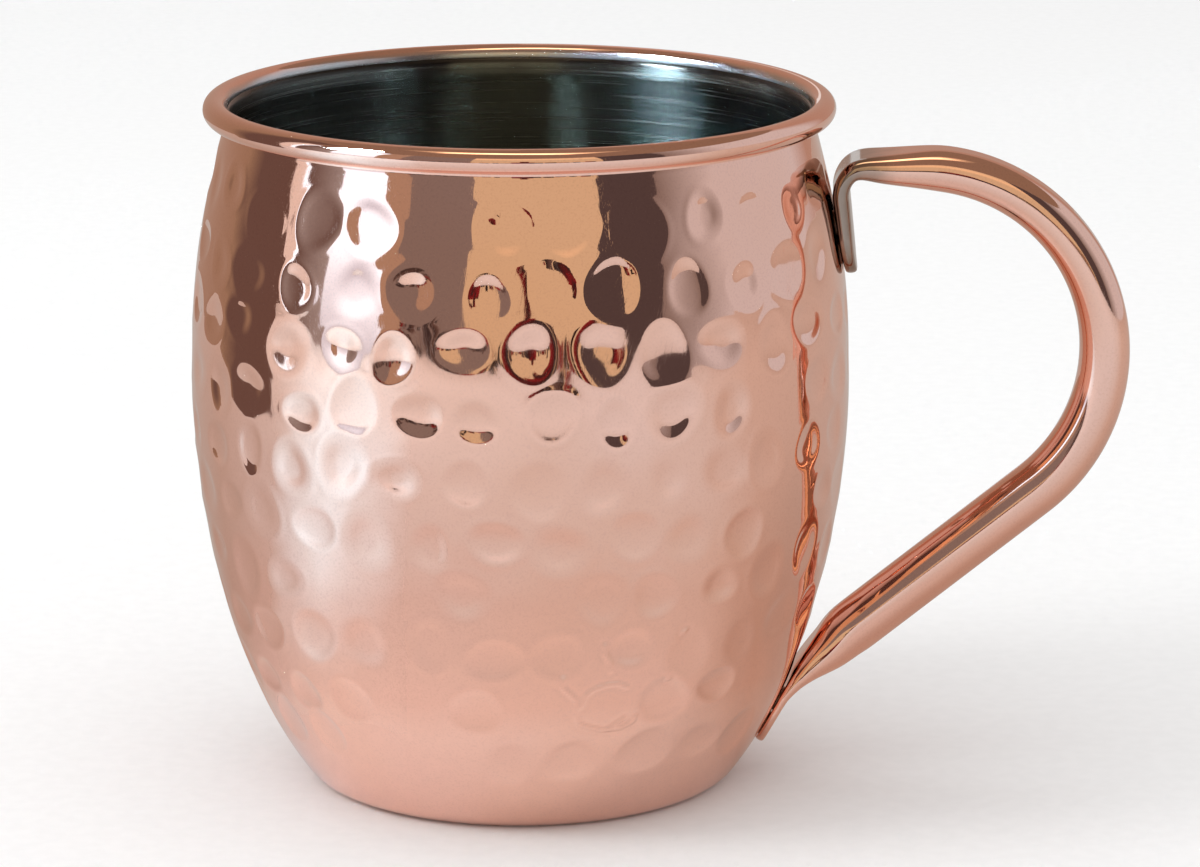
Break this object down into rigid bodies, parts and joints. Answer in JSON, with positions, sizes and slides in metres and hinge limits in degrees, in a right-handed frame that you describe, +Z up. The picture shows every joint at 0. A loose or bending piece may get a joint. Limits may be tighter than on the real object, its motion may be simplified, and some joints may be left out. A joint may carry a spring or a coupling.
{
  "type": "copper mug",
  "caption": "Hammered copper barrel mug with a steel lining, a rolled rim and a bent tube handle whose flat ends are spot-welded to the wall.",
  "frame": {"origin": "centre of the flat base, on the axis of the mug", "axes": "+Z up along the axis of the mug, +X towards the handle"},
  "size_m": [0.1273, 0.0896, 0.0943],
  "materials": {
    "hammered_copper": "hand-hammered copper, polished, with fine scratches",
    "lining_steel": "satin steel, brushed round the mug",
    "handle_copper": "smooth polished copper",
    "weld_metal": "spot-weld metal, dull"
  },
  "bodies": {
    "root": {"outer_shell": "hammered_copper", "steel_liner": "lining_steel", "handle_tube": "handle_copper", "upper_weld_spots": "weld_metal", "lower_weld_spots": "weld_metal"}
  },
  "joints": []
}
